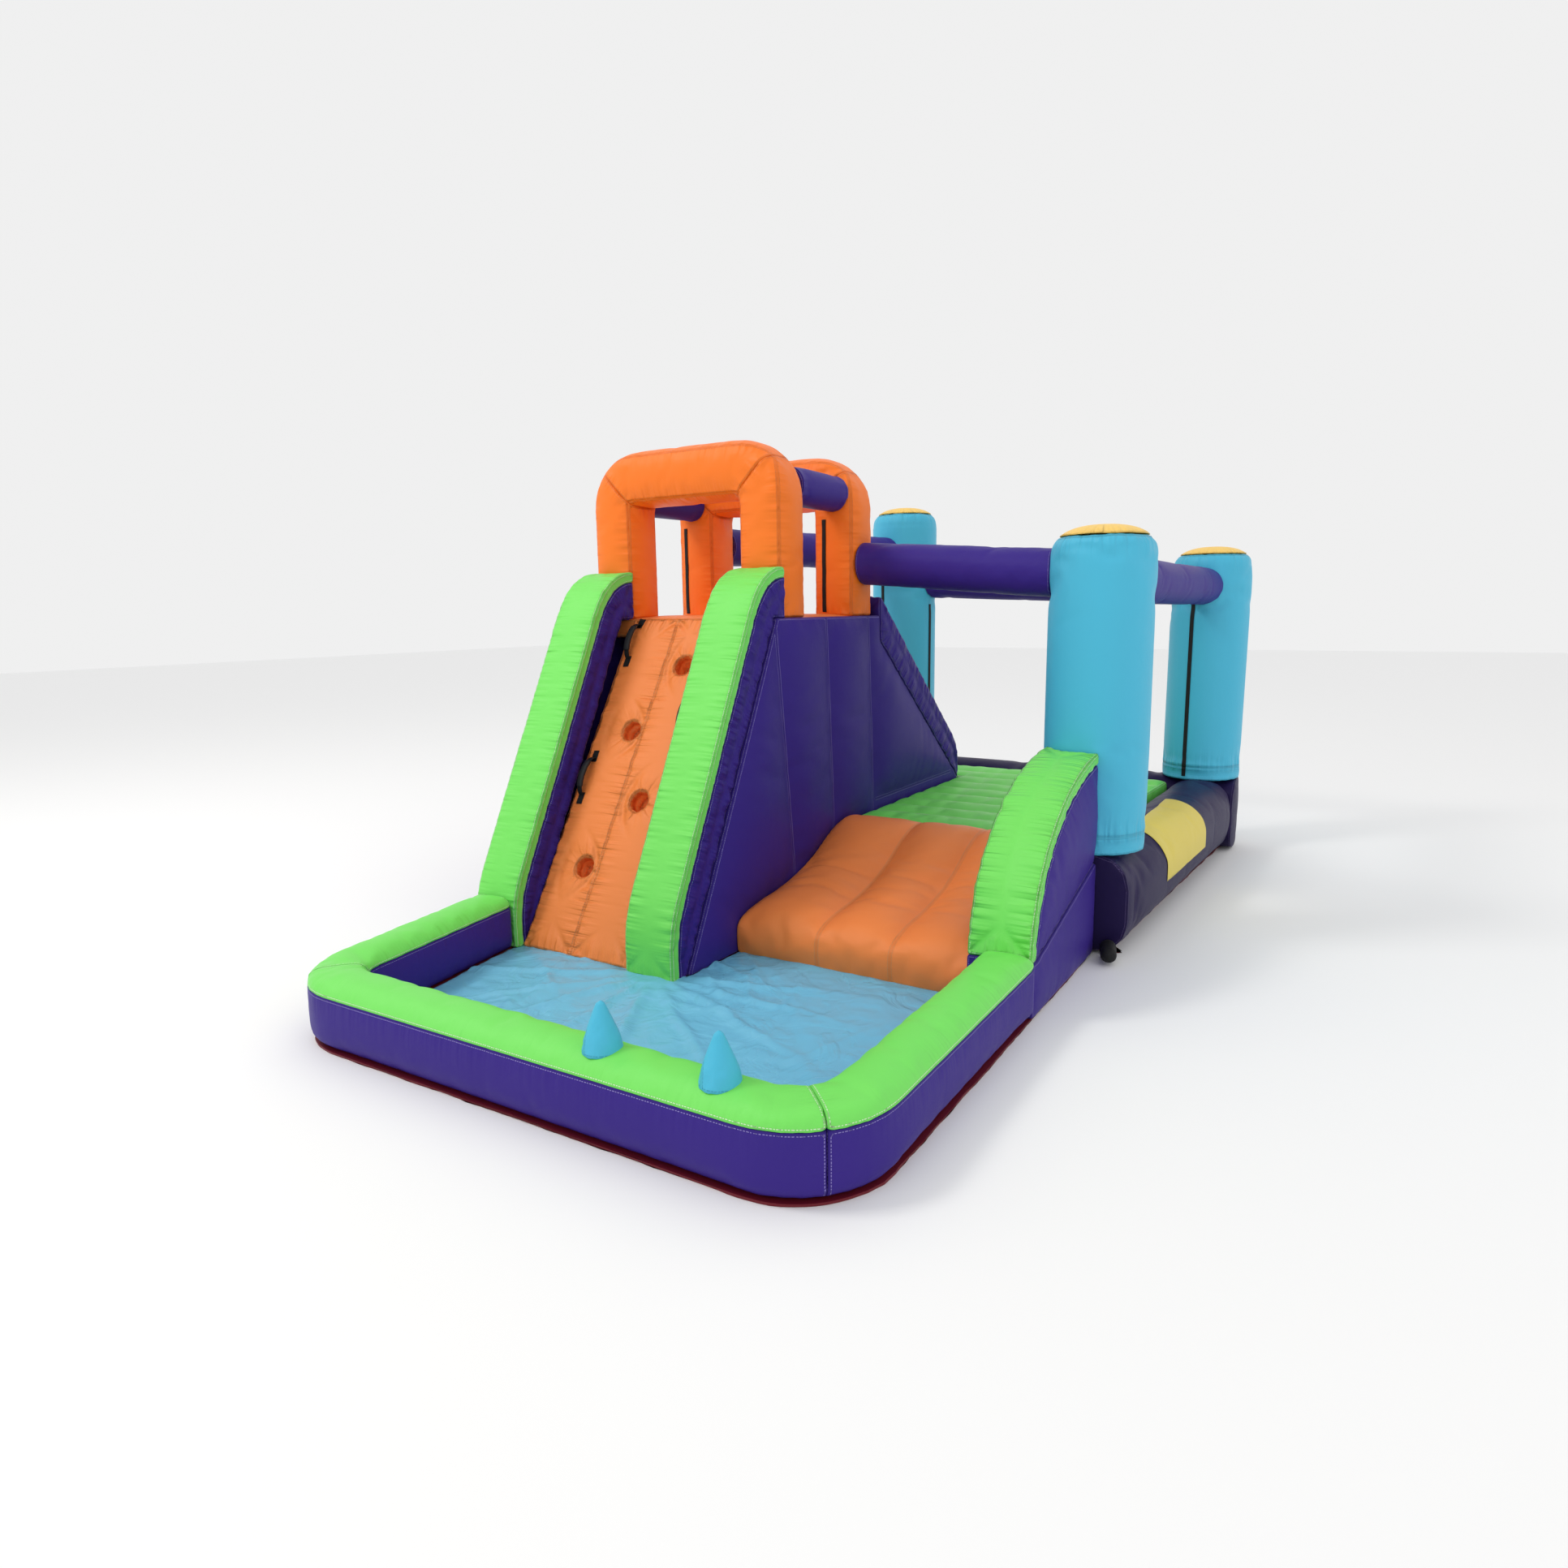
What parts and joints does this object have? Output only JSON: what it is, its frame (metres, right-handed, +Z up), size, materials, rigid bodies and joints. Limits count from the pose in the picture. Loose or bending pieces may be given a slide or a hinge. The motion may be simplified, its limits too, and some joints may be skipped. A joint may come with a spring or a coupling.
{
  "type": "inflatable bounce house",
  "caption": "Inflatable bounce house with a splash pool, climbing wall, platform with padded arches, slide, ramp and walled bounce area; webbing handles swing and the deflation zip runs.",
  "frame": {"origin": "centre of the footprint's bounding box, on the ground", "axes": "+Z up, +Y from the splash pool towards the bounce area, +X to the right of a child who faces the climbing wall"},
  "size_m": [2.65, 4.703, 2.162],
  "materials": {
    "green_cover": "satin",
    "purple_panel": "satin",
    "dark_wall": "satin",
    "orange_arch": "satin",
    "orange_panel": "satin",
    "green_floor": "satin",
    "cyan_post": "satin",
    "yellow_cap": "satin",
    "blue_sheet": "gloss",
    "red_sheet": "satin",
    "label_cloth": "satin",
    "white_web": "matte",
    "black_webbing": "matte",
    "black_rubber": "satin"
  },
  "bodies": {
    "house": {"ground_sheet": "red_sheet", "pool_floor": "blue_sheet", "pool_skirt_left": "purple_panel", "pool_skirt_front": "purple_panel", "pool_skirt_right": "purple_panel", "climb_bolster_left": "purple_panel", "climb_bolster_right": "purple_panel", "tower_side_left": "purple_panel", "tower_side_right": "purple_panel", "slide_bolster_left": "purple_panel", "slide_bolster_right": "purple_panel", "arch_beam_left": "purple_panel", "arch_beam_right": "purple_panel", "ramp_bolster": "purple_panel", "ramp_side_wall": "purple_panel", "beam_front": "purple_panel", "beam_right": "purple_panel", "beam_rear": "purple_panel", "beam_left": "purple_panel", "pool_cover_left": "green_cover", "pool_cover_front": "green_cover", "pool_cover_right": "green_cover", "climb_cover_left": "green_cover", "climb_cover_right": "green_cover", "ramp_cover": "green_cover", "spray_cone_left": "cyan_post", "spray_cone_right": "cyan_post", "post_front_right": "cyan_post", "post_rear_right": "cyan_post", "post_rear_left": "cyan_post", "climbing_wall": "orange_panel", "platform": "orange_panel", "slide_bed": "orange_panel", "ramp": "orange_panel", "tower_web_front": "white_web", "tower_web_rear": "white_web", "floor_web": "white_web", "front_arch_leg_left": "orange_arch", "front_arch_top": "orange_arch", "front_arch_leg_right": "orange_arch", "rear_arch_leg_left": "orange_arch", "rear_arch_top": "orange_arch", "rear_arch_leg_right": "orange_arch", "bounce_floor": "green_floor", "bounce_wall_right": "dark_wall", "bounce_wall_rear": "dark_wall", "bounce_wall_left": "dark_wall", "post_cap_front_right": "yellow_cap", "post_cap_rear_right": "yellow_cap", "post_cap_rear_left": "yellow_cap", "label_panel": "label_cloth", "air_sleeve": "black_webbing", "zip_tape": "black_webbing"},
    "handle_lower_left": {"handle_strap_lower_left": "black_webbing", "handle_grip_lower_left": "black_rubber"},
    "handle_middle_right": {"handle_strap_middle_right": "black_webbing", "handle_grip_middle_right": "black_rubber"},
    "handle_upper_left": {"handle_strap_upper_left": "black_webbing", "handle_grip_upper_left": "black_rubber"},
    "zip_slider": {"zip_slider": "black_rubber"}
  },
  "joints": [
    {"name": "handle_lower_left_swing", "type": "hinge", "parent": "house", "child": "handle_lower_left", "pos_m": [-1.005, -0.8663, 0.6991], "axis": [0, 0.515, 0.8572], "range_deg": [-40, 40]},
    {"name": "handle_middle_right_swing", "type": "hinge", "parent": "house", "child": "handle_middle_right", "pos_m": [-0.57, -0.6989, 0.9777], "axis": [0, 0.515, 0.8572], "range_deg": [-40, 40]},
    {"name": "handle_upper_left_swing", "type": "hinge", "parent": "house", "child": "handle_upper_left", "pos_m": [-1.005, -0.5119, 1.2888], "axis": [0, 0.515, 0.8572], "range_deg": [-40, 40]},
    {"name": "zip_slider_run", "type": "slide", "parent": "house", "child": "zip_slider", "axis": [1, 0, 0], "range_m": [0, 0.38]}
  ]
}
